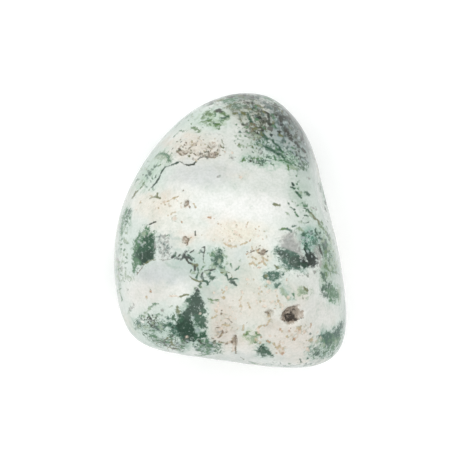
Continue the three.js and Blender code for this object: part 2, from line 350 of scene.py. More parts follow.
     [(229, 279, 0.8), (237, 278.5, 0.7)]),
    ("pitch", [(230, 281, 1), (234, 282.5, 1.6), (236, 285, 1)]),
    ("moss", [(195, 288, 0.8), (201, 287, 0.8)]),
    ("deep", [(201, 283, 0.9), (198, 286, 0.8)]),
    ("teal", [(207, 274, 1), (210, 273, 0.8)]),
    # The darkest patch, with its lobes, and the threads beside it.
    ("black", [(197, 290, 1.6), (197, 294, 2.8), (199, 298, 2.6)], [(162, 342, 1), (167, 342, 1.7)]),
    ("olive", [(171, 340, 1), (173, 345, 1.5)], [(168, 347, 0.7), (176, 348, 0.7)]),
    ("sage", (171, 305, 0.9), [(144, 316, 0.8), (148, 309, 0.8), (151, 306, 0.7)]),
    ("umber", [(148, 314, 0.5), (151, 318, 0.6)], [(150, 320, 0.8), (154, 323, 1)], (145, 319, 1),
     [(165, 350, 0.6), (173, 352, 0.7)]),
    ("green", [(151, 306, 0.3), (154, 303, 0.5), (158, 303, 0.4)],
     [(150, 334, 0.7), (155, 336, 0.8), (158, 340, 0.6)], [(181, 346, 0.8), (184, 348, 0.8)]),
    ("pitch", [(197, 296, 3.8), (195.5, 303, 7.4), (196, 311, 7)]),
    ("deep", (188, 300, 2), (204, 311, 2.8), (188, 299, 1), [(197, 318, 3.4), (201, 321, 6), (203, 325, 4)],
     (218, 348, 1.3)),
    ("pitch",
     [(188, 311, 3.4), (184, 316, 5), (185, 322, 8), (184.5, 329, 9.4), (187, 334, 7.6), (194, 337, 4.6)]),
    ("teal", [(170, 323, 1.6), (172, 328, 2.2), (175, 332, 1.6)], (168, 318, 1.5),
     [(138, 322, 1), (138, 327, 1.4)]),
    ("deep", [(178, 314, 1.4), (180, 319, 2)], [(199, 337, 2.8), (203, 334, 2.8), (206, 338, 1.6)],
     [(157, 325, 1.1), (163, 327, 1.6), (168, 325, 1)]),
    ("mist", (197, 329.5, 1.8), (193, 317, 1), [(183, 339, 1), (188, 341, 1)]),
    ("olive", [(178, 306, 0.8), (178, 311, 1.7)], [(180, 296.5, 0.8), (184, 295, 1), (189, 294, 0.7)]),
    # The speck at (187, 336) is a painted glint: a pale fleck standing for a highlight at a small pit.
    ("blush", (187, 336, 0.7), (200, 313, 0.4)),
    ("umber", (173, 327, 0.7), [(200, 340, 0.9), (203, 344, 0.9)]),
    ("slate", [(153, 327, 0.6), (160, 330, 0.7)], (178, 342, 1)),
    ("teal", (181, 338, 1.4)),
    ("moss", [(208, 298.5, 0.6), (212, 300, 0.9), (218, 300, 0.6)]),
    ("sage", [(209, 301.5, 0.5), (214, 303, 0.5)]),
    # A painted glint: a white speck standing for a highlight.
    ("chalk", [(142, 321, 1.1), (144, 322, 0.9)]),
    ("deep", [(206, 341, 1.8), (211, 343, 1.8)]),
    ("green", [(199, 350, 0.8), (203, 345, 0.9), (208, 349, 1)],
     [(195, 354, 0.7), (201, 355, 0.8), (210, 352, 0.8)]),
    ("black", (212, 347, 1)),
    # The right-hand side: the long teal bar, the lace above it and the soft patches at the rim.
    ("deep", [(303, 231, 1), (303, 235, 1.4)], [(305, 233.5, 0.6), (309, 231.5, 0.9)], (313, 242, 1),
     [(316, 243.5, 0.7), (319, 244, 0.9)], [(322, 272, 1.8), (324, 275, 1.6), (325, 279, 1.3)],
     [(312, 352, 0.8), (316, 354, 1.4), (319, 352, 0.9)], (308, 358, 1), [(300, 358, 0.5), (302, 362, 0.8)],
     [(262, 345, 1.2), (262, 350, 4), (263, 354, 2.8)]),
    ("teal", (277, 247, 0.9), [(277, 250, 3), (282, 254, 5.4), (289, 258, 6.4), (296, 261, 6)],
     [(312, 231, 0.8), (312, 234, 0.7)]),
    ("slate", (310, 333, 0.9), (309, 347, 0.7), (314, 345, 0.7)),
    ("moss", [(280, 229, 0.6), (284, 227.5, 0.8), (288, 229, 1)], (328, 276, 1),
     [(325, 263, 0.8), (327, 268, 1.3), (332, 269, 1), (336, 266, 0.7), (337, 262, 0.9)]),
    ("green", [(327, 269, 0.7), (333, 272, 0.7), (340, 274, 0.6)], [(293, 293, 0.6), (295, 297, 0.7)],
     [(330, 338, 8), (327, 344, 5.5)], [(249, 361, 0.7), (262, 364, 0.6)]),
    ("teal", [(288, 229, 1), (291, 230, 1.1)], [(293, 226, 1), (296, 225, 0.6)],
     [(326, 337, 4.6), (332, 337, 5.4), (329, 342, 4)], [(319, 336, 1.6), (322, 340, 2)]),
    ("sage", [(298, 228, 1), (302, 230, 0.8)], (333, 264, 1.2), [(337, 291, 4), (339, 297, 3)],
     (304, 291, 4)),
    ("olive", [(304, 286, 0.8), (308, 290, 1.1)], (303, 298, 1.1), [(240, 356, 0.4), (244, 359, 0.5)]),
    ("pitch", [(279, 252, 1.6), (285, 256, 2.6)], [(259, 351, 2), (263, 350, 2.2)]),
    ("deep", [(315, 231, 0.6), (318, 235, 0.9), (320, 239, 0.8)],
     [(322, 241, 2), (325, 246, 2.8), (326, 252, 2)], [(257, 352, 1.8), (267, 351, 2), (272, 355, 0.8)]),
    ("mist", (286, 254, 0.3), (281, 252, 0.3)),
    ("green", [(330, 290.5, 7), (333, 296, 5.4)], [(336, 331, 4), (342, 325, 2.4)]),
    ("deep", [(322, 290, 1.6), (325, 286, 2), (329, 286, 1.3)], [(322, 293, 1.6), (326, 296, 1.8)],
     [(334, 331, 1.4), (341, 325, 1)]),
    ("sage", [(284, 265, 3), (291, 268, 3), (299, 267, 2.4)]),
    ("teal", [(285, 262, 2.4), (291, 265, 3), (298, 265, 2.6)], (327, 282, 0.8),
     [(266, 277.5, 2.8), (270, 274, 3), (276, 275, 3), (281, 276, 2)], [(270, 278, 3), (275, 278, 2)],
     (283, 274, 1), [(275, 283, 1), (276, 286, 1.4), (280, 283, 1)]),
    ("olive", (266, 276, 1.2), [(275, 264, 0.6), (278, 268, 0.9)]),
    ("pitch", [(292, 260, 2.4), (299, 262, 3.6), (306, 263, 3), (311, 262, 3.4)]),
    ("black", (303, 259, 2.2), [(305, 247, 1.8), (308, 251, 3.2), (311, 257, 5.2), (313, 262, 4.8)],
     (314, 265, 2.4)),
    ("mist", (301, 260.5, 0.4), (312, 256, 0.4)),
    ("teal", [(306, 241, 1), (307, 246, 1.3), (309, 249, 1.3)]),
    ("mist", (308, 238, 0.8)),
    ("umber", [(319, 245, 0.8), (321, 251, 1.1), (323, 257, 0.9)]),
    ("slate", [(325, 240, 1.4), (327, 248, 1.4)]),
    ("sage", [(281, 288, 1.2), (284, 293, 1.2), (289, 298, 1)]),
    ("green", [(339, 336, 5), (334, 346, 4)]),
    ("teal", [(337, 331, 4), (342, 324, 2.6)]),
    # Fissures, filled brown or black, and their tan and rust stains.
    ("tan", [(163, 202, 0.8), (168, 201, 0.8), (171, 199, 0.8), (174, 197.5, 0.7), (178, 196, 0.6)],
     [(224, 243, 0.8), (230, 246, 1.4), (235, 246, 1)], [(240, 244, 0.6), (247, 242, 0.7)],
     [(222, 324, 0.7), (229, 325, 0.8)], [(194, 203, 0.8), (196, 207, 0.8)], (168, 215, 0.9),
     [(258, 328, 1.2), (261, 325, 1)], [(273, 343, 0.6), (277, 348, 1), (282, 354, 0.7)],
     [(306, 340, 0.6), (312, 340, 0.6)], [(244, 324, 0.8), (243, 330, 0.7)],
     [(249, 303, 0.7), (250, 307, 0.8)], [(250, 264, 0.6), (253, 262, 0.8), (256, 265, 0.7)],
     [(252, 256, 0.6), (257, 259, 0.7)], [(259, 263, 0.6), (263, 261, 0.8), (266, 265, 0.7)],
     [(262, 257, 0.6), (267, 260, 0.7)], (147, 297, 1.4), (233, 300, 0.7), (262, 291, 0.8), (280, 303, 0.7),
     (243, 294, 0.6), [(212, 318, 0.7), (216, 315, 0.6)]),
    ("brown", [(236, 335, 0.6), (235, 340, 0.9), (236, 347, 0.5), (236, 353, 0.8)],
     [(216, 327, 0.6), (222, 327, 0.8), (223, 331, 0.9), (219, 337, 0.7)], (195, 143, 0.7),
     [(189, 148.5, 0.5), (192, 146, 0.5)], (203, 139, 0.6), (186, 151, 0.6),
     [(187, 201, 0.8), (188, 204.5, 1.2), (190, 207, 0.8)],
     [(185, 237, 0.7), (188, 238.5, 1), (187, 241, 1.2), (187, 244, 0.8)], (260, 245, 0.7), (252, 248, 0.8),
     (222, 310, 0.9), (183, 190, 0.7), [(264, 311, 0.6), (268, 313, 0.8), (271, 316, 0.6)],
     [(228, 318, 0.5), (232, 322, 0.5)], (247, 322, 0.6), [(212, 337, 0.5), (216, 340, 0.6)],
     [(250, 252, 0.5), (254, 250, 0.5)], [(257, 250, 0.5), (260, 248, 0.5)], (291, 327, 0.8)),
    ("rust", (225, 151, 0.8), (191, 237, 0.6), [(208, 217, 0.9), (211, 217, 1)], (214, 218, 0.6),
     (182, 221.5, 0.8), (275, 308, 0.8), [(287, 278, 0.5), (287, 281, 0.4)], (244, 334, 0.9),
     (297, 336, 0.7), (240, 306, 0.6), (246, 226, 0.8), (256, 229, 0.7), (151, 291, 1), (222, 289, 0.6)),
    ("umber", [(180, 161, 0.4), (184, 164, 0.7), (189, 165, 0.5), (194, 164, 1), (196, 161, 0.5),
     (199, 158, 0.5), (204, 156, 0.4), (209, 156.5, 0.7), (215, 157, 0.6)], (180, 149, 1.2),
     (200, 151.5, 1), (198, 141, 0.8), (186, 148, 0.7),
     [(208, 144, 0.5), (210, 146, 0.6), (212, 144.5, 0.5)], (193, 158, 0.6), (188, 203, 0.4),
     [(195, 230, 0.4), (195, 233, 0.6), (195, 235, 0.9)], [(264, 253, 0.7), (267, 250.5, 0.9)]),
    ("blush", [(233, 340, 1), (233, 350, 1)], (175, 218, 1.6), (232, 152, 1),
     [(279, 344, 1), (284, 352, 1)], (304, 347, 1), (236, 231, 1.6), (241, 177, 1.2),
     [(170, 296, 0.9), (177, 296, 1)]),
    ("olive", [(150, 198, 0.5), (155, 196.5, 0.6), (161, 197.5, 0.6)], [(157, 193, 0.6), (158, 197, 0.8)],
     [(221, 341, 0.7), (225, 342.5, 0.7), (229, 341, 0.6)], (213, 154, 1), [(216, 151, 1), (218, 153, 1.2)],
     (191, 153, 0.9), [(222, 139, 0.6), (223, 143, 0.8)]),
    ("brown", [(177, 151, 0.8), (181, 153.5, 0.7), (184, 154, 0.5)], [(194, 153, 0.6), (199, 155, 0.8)]),
    # The pale rim along the crust, and at (267, 253) a painted glint at a pit's edge.
    ("chalk", [(205, 134, 0.7), (212, 133, 0.8), (221, 135, 0.8), (224, 141, 0.7), (226, 150, 0.6)],
     (267, 253, 0.9)),
    ("moss", [(247, 334, 1.6), (251, 336, 1.8), (254, 339, 1.4), (256, 343, 0.7)],
     [(256, 333, 1), (259, 333, 1.2)]),
    ("sage", (128, 312, 0.8), (251, 338, 2)),
    ("pitch", [(151, 187, 0.5), (155, 183, 0.7), (158, 179, 1), (160, 175, 0.5), (162, 170, 0.7),
     (165, 167, 0.6), (170, 164.5, 0.4), (173, 163.5, 0.9), (178, 162, 0.9)]),
]

# Where small marks lie close together, they are strewn with a fixed seed. Each row is the middle, half
# sizes across and down, how many, least and most half width, and the inks that they take in turn.
STREWN = [
    (258, 118, 20, 18, 46, 0.4, 0.9, ("umber", "olive", "mist", "green", "slate")),
    (290, 120, 15, 22, 48, 0.5, 1.2, ("umber", "slate", "mist", "olive", "umber")),
    (303, 148, 9, 20, 24, 0.4, 1, ("umber", "mist", "slate", "mist")),
    (272, 150, 24, 13, 36, 0.3, 0.8, ("green", "mist", "deep")),
    (250, 96, 34, 3, 20, 0.5, 1, ("umber", "slate", "olive")),
    (248, 137, 14, 15, 54, 0.25, 0.6, ("brown", "sage", "olive", "sage", "green")),
    (152, 322, 16, 9, 34, 0.3, 0.8, ("green", "umber", "mist", "sage")),
    (172, 343, 17, 7, 34, 0.3, 0.8, ("umber", "green", "mist", "olive")),
    (206, 346, 14, 8, 30, 0.4, 1, ("deep", "green", "mist")),
    (198, 148, 27, 12, 72, 0.25, 0.6, ("brown", "tan", "olive", "chalk", "umber")),
    (288, 336, 34, 18, 60, 0.3, 1.3, ("blush", "blush", "rust", "tan")),
    (224, 326, 14, 22, 36, 0.3, 0.9, ("tan", "blush", "brown", "blush")),
    (258, 256, 12, 13, 22, 0.3, 0.7, ("tan", "brown", "rust")),
    (330, 244, 8, 26, 44, 0.4, 1, ("sage", "green", "deep")),
    (331, 262, 8, 16, 16, 0.4, 1, ("sage", "moss")),
    (300, 200, 14, 26, 22, 0.3, 0.8, ("green", "deep", "sage")),
    (120, 250, 4, 50, 26, 0.4, 1, ("sage", "green", "mauve")),
    (146, 175, 16, 16, 22, 0.3, 0.8, ("green", "sage", "deep")),
    (208, 118, 20, 10, 24, 0.3, 0.8, ("moss", "green", "sage")),
    (214, 270, 26, 13, 16, 0.3, 0.7, ("deep", "sage")),
    (313, 240, 10, 12, 26, 0.4, 1, ("deep", "mist", "teal")),
    (324, 348, 16, 12, 28, 0.4, 1, ("deep", "sage", "green")),
    (235, 232, 36, 12, 26, 0.3, 0.8, ("blush", "tan", "rust")),
    (160, 205, 30, 10, 22, 0.3, 0.8, ("tan", "blush")),
    (250, 300, 40, 22, 60, 0.3, 1.2, ("blush", "tan", "blush")),
    (290, 364, 38, 1.5, 22, 0.3, 0.5, ("slate", "sage", "green")),
    (164, 247, 9, 13, 110, 0.15, 0.45, ("grains", "mauve", "slate")),
    (122, 250, 5, 40, 30, 0.3, 0.9, ("sage", "green")),
    (212, 264, 30, 16, 30, 0.2, 0.5, ("sage", "green", "sage")),
]

# Where the ground itself is a froth of small rounded cells, some of them dark: middle, half sizes across
# and down, and strength.
FROTH = [
    (272, 118, 34, 28, 1), (300, 146, 10, 25, 0.55), (248, 106, 20, 9, 0.7), (154, 325, 18, 11, 0.35),
    (172, 343, 14, 7, 0.55), (208, 346, 12, 8, 0.45), (272, 150, 18, 9, 0.45), (323, 250, 6, 16, 0.35),
]

# Painted shade in the big cavity: spots where its inner hollows lie in shadow, measured the same way.
CAVITY_PAINTED_SHADE_SPOTS = [(292, 318.5, 7, 4.5, 1.0), (294, 304.5, 4, 3, 0.9), (285, 311, 3, 4, 0.6)]

# Soft clouds in the white: colour, middle, half sizes across and down, and strength. The cream one at (158,
# 204) and the white one at (240, 206) are partly painted highlight: they brighten the arch across the crown
# where the overhead panel reflects.
CLOUDS_AND_HIGHLIGHT = [
    ("#e6eae3", 230, 150, 60, 28, 1), ("#f6f0e2", 158, 204, 28, 12, 1.8),
    ("#ebe0d0", 196, 148, 27, 13, 1.8), ("#e4d9c8", 166, 143, 11, 6, 1.8),
    ("#d7dad8", 204, 173, 34, 11, 2.2), ("#e3e8e1", 262, 180, 36, 13, 1.8),
    ("#efe5d4", 240, 176, 14, 6, 0.8), ("#fafaf6", 240, 206, 50, 13, 2.6),
    ("#f4eedc", 240, 231, 24, 9, 1.8), ("#eef0e8", 176, 226, 28, 16, 1.8), ("#f2e2d0", 210, 217, 8, 5, 0.8),
    ("#ead9c6", 187, 238, 9, 7, 1.4), ("#d2d8d1", 164, 247, 13, 14, 2), ("#ebe4d2", 258, 256, 11, 12, 1.4),
    ("#cfd9d3", 240, 256, 12, 10, 1.6), ("#cdd2d1", 165, 273, 30, 11, 2.6),
    ("#e8e5dd", 150, 292, 26, 12, 1.2), ("#d7cdbf", 222, 320, 16, 26, 2),
    ("#e2dccf", 256, 304, 28, 20, 1.8), ("#ebe3d8", 288, 338, 34, 18, 1.8), ("#c9c0b3", 271, 325, 8, 8, 2),
    ("#e9e8e1", 318, 310, 22, 14, 2.2), ("#8a9a98", 284, 130, 17, 24, 3.4),
    ("#b4b5a2", 254, 114, 17, 14, 2.4), ("#a6b2a6", 258, 136, 12, 13, 2.6),
    ("#8f9b95", 306, 148, 10, 26, 3), ("#6a736c", 248, 95, 50, 4, 5), ("#5b665e", 298, 116, 10, 26, 4.4),
    ("#a9cabd", 312, 240, 13, 14, 2), ("#c3d3c8", 304, 182, 18, 26, 1.6), ("#c6d8ce", 268, 158, 28, 8, 1.6),
    ("#c5dccd", 150, 166, 22, 22, 1.8), ("#cbe0d3", 196, 120, 32, 13, 2),
    ("#cadbd1", 155, 333, 28, 20, 1.8), ("#b3c7bb", 196, 265, 30, 14, 2.4),
    ("#b9c3b8", 206, 294, 13, 14, 2.4), ("#c9cfc2", 236, 278, 15, 16, 2),
    ("#b9cabe", 332, 262, 12, 32, 2.2), ("#bfccc3", 328, 347, 20, 16, 1.8),
    ("#cfd5cf", 240, 357, 60, 6, 1.8), ("#d9e5dc", 126, 245, 10, 34, 1.8),
    ("#dde8df", 162, 312, 18, 12, 1.4), ("#dadacc", 248, 286, 16, 14, 1.8),
    ("#d3d6cc", 285, 290, 20, 16, 1.6), ("#b1b8a8", 238, 109, 12, 8, 1.8),
    ("#bccabd", 250, 145, 14, 12, 1.8), ("#b9b6ad", 290, 244, 9, 9, 1.6),
]

# Veils, where threads lie deeper and show as a soft tint: colour, how full, how soft the edge is, and path.
VEILS = [
    ("#a9c0b2", 0.7, 5, [(140, 324, 5), (160, 328, 8)]), ("#8fae9c", 0.7, 5, [(176, 330, 8)]),
    ("#9db7a8", 0.7, 5, [(156, 344, 5), (182, 347, 7)]),
    ("#7fa18d", 0.7, 4, [(196, 298, 3), (190, 315, 9), (190, 334, 11), (208, 346, 8)]),
    ("#8c9480", 0.6, 6, [(236, 106, 5), (254, 112, 9), (262, 134, 8)]),
    ("#6b7875", 0.9, 6, [(256, 98, 3), (276, 110, 7), (290, 124, 11), (304, 148, 8)]),
    ("#90a59f", 0.7, 6, [(262, 142, 6), (280, 150, 9), (300, 158, 7)]),
    ("#adc9b0", 0.7, 5, [(160, 157, 7), (150, 171, 7), (139, 186, 5)]),
    ("#9bb9a6", 0.7, 4, [(127, 211, 4), (122, 232, 4)]),
    ("#a5be98", 0.65, 4, [(206, 117, 6), (216, 122, 5), (224, 117, 5)]),
    ("#8fb8a6", 0.65, 4, [(306, 234, 6), (313, 242, 8)]),
    ("#6f9a84", 0.8, 4, [(321, 243, 4), (324, 254, 6)]),
    ("#84af90", 0.7, 4, [(327, 288, 6), (333, 294, 9)]),
    ("#7fa594", 0.75, 4, [(326, 338, 9), (335, 336, 9), (341, 330, 6)]),
    ("#86a685", 0.8, 4, [(325, 258, 5), (325, 276, 5)]),
    ("#7c9f87", 0.9, 5, [(326, 240, 5), (331, 252, 7), (334, 268, 6)]),
    ("#a3c2ab", 0.6, 4, [(243, 160, 3), (262, 161, 5), (290, 163, 7)]),
    ("#a1bdb0", 0.6, 4, [(272, 277, 7), (279, 288, 4), (290, 297, 3)]),
    ("#b4ccc0", 0.5, 5, [(203, 275, 8), (232, 276, 7)]), ("#b2cabd", 0.5, 5, [(215, 258, 8)]),
    ("#b5cac0", 0.45, 5, [(176, 256, 5), (194, 262, 6)]),
    ("#abc5ae", 0.55, 4, [(293, 184, 3), (303, 203, 4), (320, 226, 4), (331, 244, 5)]),
    ("#9bb8aa", 0.6, 4, [(262, 350, 7)]), ("#9ab7a9", 0.65, 4, [(312, 353, 7), (328, 351, 7)]),
    ("#b8c8a4", 0.6, 4, [(304, 291, 5)]), ("#b3c196", 0.6, 4, [(250, 337, 5)]),
    ("#97aba1", 0.65, 3, [(118, 250, 2), (117, 268, 3), (119, 290, 2)]),
    ("#b3c2ba", 0.5, 5, [(166, 242, 8)]),
    ("#8d9c95", 0.6, 2.5, [(242, 362, 1), (286, 366, 2), (318, 361, 1.5)]),
    ("#97a8a0", 0.5, 3, [(344, 290, 2), (345, 325, 3)]),
    ("#b9bab4", 0.6, 5, [(292, 244, 8), (300, 256, 5)]),
    ("#9ab2a9", 0.75, 4, [(283, 264, 4), (292, 268, 4), (302, 268, 3)]),
]

# Patches on the sides and underside, which the photograph doesn't show: heading round and up, spread in
# degrees, number of blots and ink. The blots and the threads there are drawn with a fixed seed.
FAR_PATCHES = [
    (20, -10, 7, 16, "teal"), (45, -35, 13, 30, "deep"), (78, -14, 6, 12, "green"),
    (100, -34, 9, 20, "web"), (114, 2, 5, 9, "lace"), (137, -20, 12, 28, "deep"),
    (160, -42, 7, 12, "olive"), (182, -12, 6, 11, "green"), (206, -30, 13, 32, "deep"),
    (222, -4, 6, 11, "teal"), (243, -46, 8, 16, "lace"), (256, -16, 10, 20, "green"),
    (280, -26, 5, 9, "lace"), (294, -38, 12, 28, "teal"), (318, -14, 7, 14, "deep"),
    (338, -42, 8, 15, "olive"), (354, -22, 6, 10, "web"), (60, -70, 13, 26, "green"),
    (200, -68, 9, 18, "teal"), (310, -66, 12, 28, "deep"), (72, 0, 9, 34, "umber"),
    (84, -6, 9, 34, "slate"), (98, 2, 9, 34, "umber"), (90, 10, 8, 30, "olive"),
]


def ink_colour(text):
    """Scene-linear red, green and blue of a written colour: ((c + 0.055) / 1.055)^2.4 for each."""
    parts = np.array([int(text[at:at + 2], 16) for at in (1, 3, 5)]) / 255
    return np.where(parts > 0.04045, ((parts + 0.055) / 1.055) ** 2.4, parts / 12.92)


# The markings wander a little, as grown threads do: the plan is bent by soft noise before it is measured.
BEND_CELL = 0.9
bend = np.stack([cloud(lump, BEND_CELL, seed) for seed in (11, 12, 13)], axis=-1)
near_green = np.zeros(len(lump))

# No mark shows further than this from its edge, in plan steps, so no further points are measured.
LONGEST_FADE = 24

# Thin marks have sharper edges. A loose mark fades more slowly outside its edge, where it sprays, and
# the ink takes hold over a short range of the cover.
LEAST_SOFTNESS = 0.6
SOFTER_PER_STEP = 0.25
SPRAY = 0.9
INK_HOLDS = (0.12, 0.42)

# How far a broad green mark tints the ground, and from what half widths on.
TINT_REACH = 7
TINTING_WIDTHS = (0.5, 3)

# How much a mark is bent: a share of its half width and a little more, up to a most. Marks between the
# two firm widths go from firm to loose.
BEND_SHARE, LEAST_BEND, MOST_BEND = 0.35, 0.25, 1.4
FIRM_WIDTHS = (1.0, 2.6)


def bare_layer(colour):
    """A layer with no mark on it yet: how much a mark covers, its ink, how firm its edge is, and how far
    it grows as threads."""
    layer = {name: np.zeros(len(lump)) for name in ("cover", "firm", "thready")}
    layer["ink"] = np.tile(ink_colour(colour), (len(lump), 1))
    return layer


def lay_mark(layer, places, path, ink, firm):
    """Paints one mark: cover is 0.5 at its edge, grows to full inside and fades more slowly outside,
    where it sprays. The last ink laid shows on top. Returns the points near it and their gaps to it."""
    colour, full, soft, thready = ink
    widest = path[:, 3].max()
    soft *= min(1, LEAST_SOFTNESS + SOFTER_PER_STEP * widest)
    margin = widest + LONGEST_FADE
    above = places > path[:, :3].min(axis=0) - margin
    below = places < path[:, :3].max(axis=0) + margin
    near = np.flatnonzero((above & below).all(axis=1))
    gap = gap_to_path(places[near], path)
    spray = 1 + SPRAY * (1 - firm)
    own = np.clip(0.5 - gap / (2 * soft * np.where(gap > 0, spray, 1)), 0, full)
    share = smooth(own, *INK_HOLDS)
    layer["ink"][near] += (ink_colour(colour) - layer["ink"][near]) * share[:, None]
    layer["firm"][near] += (firm - layer["firm"][near]) * share
    layer["thready"][near] += (thready - layer["thready"][near]) * share
    layer["cover"][near] = np.maximum(layer["cover"][near], own)
    return near, gap


def lay_moss(places, path, name, firm):
    """Paints one mark of the moss layer. A green one also tints the ground, by exp(-gap / reach)."""
    near, gap = lay_mark(moss, places, path, INKS[name], firm)
    if name in GREEN_INKS:
        tint = np.exp(-np.maximum(gap, 0) / TINT_REACH) * smooth(path[:, 3].max(), *TINTING_WIDTHS)
        near_green[near] = np.maximum(near_green[near], tint)


def lay_veil(places, path, ink, firm):
    """Paints one mark of the veil layer."""
    lay_mark(veil, places, path, ink, firm)


def lay_on_plan(path, lay, ink):
    """Lays one mark of the plan, bent by at most its own width. Thin marks are firm, so they stay whole."""
    path = laid_on_stone(path)
    widest = path[:, 3].max()
    places = plan + bend * min(BEND_SHARE * widest + LEAST_BEND, MOST_BEND)
    lay(places, path, ink, 1 - smooth(widest, *FIRM_WIDTHS))


moss = bare_layer("#3a7048")
veil = bare_layer("#8fae99")
for colour, full, soft, path in VEILS:
    lay_on_plan(path, lay_veil, (colour, full, soft, 0))
for name, *strokes in MARKS:
    for stroke in strokes:
        lay_on_plan(stroke, lay_moss, name)

# The strewn specks are short dashes, thinner at one end.
SPECK_LENGTH = 1.1
SPECK_TAPER = 0.7
dice = np.random.default_rng(23)
for across, down, half_across, half_down, count, least, most, names in STREWN:
    for speck in range(count):
        turn, out = dice.uniform(0, 2 * math.pi), math.sqrt(dice.uniform(0, 1))
        aside = (half_across * out * math.cos(turn), half_down * out * math.sin(turn))
        head = np.array([across + aside[0], down + aside[1]])
        tail = head + dice.normal(0, SPECK_LENGTH, 2)
        half = dice.uniform(least, most)
        lay_on_plan([(*head, half), (*tail, half * SPECK_TAPER)], lay_moss, names[speck % len(names)])

# The far sides are measured in space, in plan steps, and bent a little as well.
FAR_BEND = 1.3
in_plan_steps = lump / PLAN_STEP + bend * FAR_BEND


def foot_at(around, up):
    """The point of the lump at a heading, in plan steps each way: lump_surface / step."""
    return lump_surface(heading(around, up)[None])[0] / PLAN_STEP


def short_stroke(foot, half, drift, end_half):
    """A stroke of two points: the foot, and the foot moved by a normal draw of size drift each way."""
    return np.array([[*foot, half], [*(foot + dice.normal(0, drift, 3)), end_half]])


# A far patch is a veil of its whole spread with blots over it, thicker towards its middle.
FAR_VEIL = ("#8fae9c", 0.55, 9, 0)
VEIL_SPREAD = 1.1
BLOT_CROWDING = 2.2
BLOT_SIZES = (0.06, 0.42)
BLOT_DRIFT = 5
BLOT_TAPER = 0.6
for around, up, spread, blots, name in FAR_PATCHES:
    middle = np.array([[*foot_at(around, up), spread * VEIL_SPREAD]])
    lay_mark(veil, in_plan_steps, middle, FAR_VEIL, 0)
    blot_inks = (name, name, "green", name, "lace", "umber")
    for blot in range(blots):
        turn = dice.normal(0, spread / BLOT_CROWDING, 2)
        foot = foot_at(around + turn[0], up + turn[1])
        half = dice.uniform(*BLOT_SIZES) * spread
        path = short_stroke(foot, half, BLOT_DRIFT, half * BLOT_TAPER)
        lay_moss(in_plan_steps, path, blot_inks[blot % len(blot_inks)], 0)

# Between the patches run thin threads, which turn a little at each link.
FAR_THREADS = 60
THREAD_UP = (-70, -4)
THREAD_SIZES = (0.4, 1.1)
THREAD_FIRMNESS = 0.9
THREAD_LINKS = 6
LINK_DEGREES = 2.2
LINK_TURN = 35
THREAD_INKS = ("umber", "olive", "tan", "deep")
for thread in range(FAR_THREADS):
    seat = np.array([dice.uniform(0, 360), dice.uniform(*THREAD_UP)])
    run = dice.uniform(0, 360)
    links = []
    for link in range(THREAD_LINKS):
        links.append([*foot_at(*seat), dice.uniform(*THREAD_SIZES)])
        run += dice.normal(0, LINK_TURN)
        seat = seat + LINK_DEGREES * np.array([math.cos(math.radians(run)), math.sin(math.radians(run))])
    lay_moss(in_plan_steps, np.array(links), THREAD_INKS[thread % len(THREAD_INKS)], THREAD_FIRMNESS)

# Single specks fill the rest.
FAR_SPECKS = 260
FAR_SPECK_UP = (-75, -2)
FAR_SPECK_SIZES = (0.5, 1.4)
FAR_SPECK_DRIFT = 1.5
FAR_SPECK_END = 0.5
FAR_SPECK_FIRMNESS = 0.8
SPECK_INKS = ("green", "tan", "sage", "umber", "blush", "deep")
for speck in range(FAR_SPECKS):
    foot = foot_at(dice.uniform(0, 360), dice.uniform(*FAR_SPECK_UP))
    path = short_stroke(foot, dice.uniform(*FAR_SPECK_SIZES), FAR_SPECK_DRIFT, FAR_SPECK_END)
    lay_moss(in_plan_steps, path, SPECK_INKS[speck % len(SPECK_INKS)], FAR_SPECK_FIRMNESS)


def spot_field(spots, wander, thickness):
    """The strongest of some soft spots of the plan: strength * (1 - a smooth step from 0.5 to 1.5 of the
    squared distance in half sizes). The plan is bent by wander first."""
    field = np.zeros(len(lump))
    for across, down, half_across, half_down, strength in spots:
        middle = laid_on_stone([(across, down, 0)])[0, :3]
        sizes = (half_across, half_down, thickness * (half_across + half_down))
        away = (plan + bend * wander - middle) / sizes
        field = np.maximum(field, strength * (1 - smooth((away ** 2).sum(axis=1), 0.5, 1.5)))
    return field


def tinted(under, colour, share):
    """Each point's colour moved towards another: under + (colour - under) * share."""
    return under + (ink_colour(colour) - under) * share[:, None]


# The white ground: a slow drift between porcelain white, mint and cream, with the clouds over it, two of
# which are partly painted highlight. It is greener near the green marks, and darker in a band round the rim,
# where the stone turns edge on: that band is painted shade.
MINT_CELL = 5.0
CREAM_CELL = 3.5
CLOUD_BEND = 4
CLOUD_FALL = 1.6
RIM_PAINTED_SHADE = np.array([0.3, 0.25, 0.27])
PORCELAIN = "#f1f2ec"
MINT = "#dde5dd"
CREAM = "#efe3d3"
LEAF_SHADE = "#c9ddd2"
ground = tinted(ink_colour(PORCELAIN), MINT, smooth(cloud(lump, MINT_CELL, 31), -0.6, 0.8))
ground = tinted(ground, CREAM, 0.55 * smooth(cloud(lump, CREAM_CELL, 32), 0.1, 0.9))
cloud_plan = plan + bend * CLOUD_BEND
weight_sum = np.ones(len(lump))
cloud_sum = ground.copy()
for colour, across, down, half_across, half_down, strength in CLOUDS_AND_HIGHLIGHT:
    middle = laid_on_stone([(across, down, 0)])[0, :3]
    away = (cloud_plan - middle) / np.array([half_across, half_down, (half_across + half_down) / 2])
    weight = 2 * strength * np.exp(-CLOUD_FALL * (away ** 2).sum(axis=1))
    weight_sum += weight
    cloud_sum += weight[:, None] * ink_colour(colour)
ground = tinted(cloud_sum / weight_sum[:, None], LEAF_SHADE, 0.45 * smooth(near_green, 0.15, 1.0))
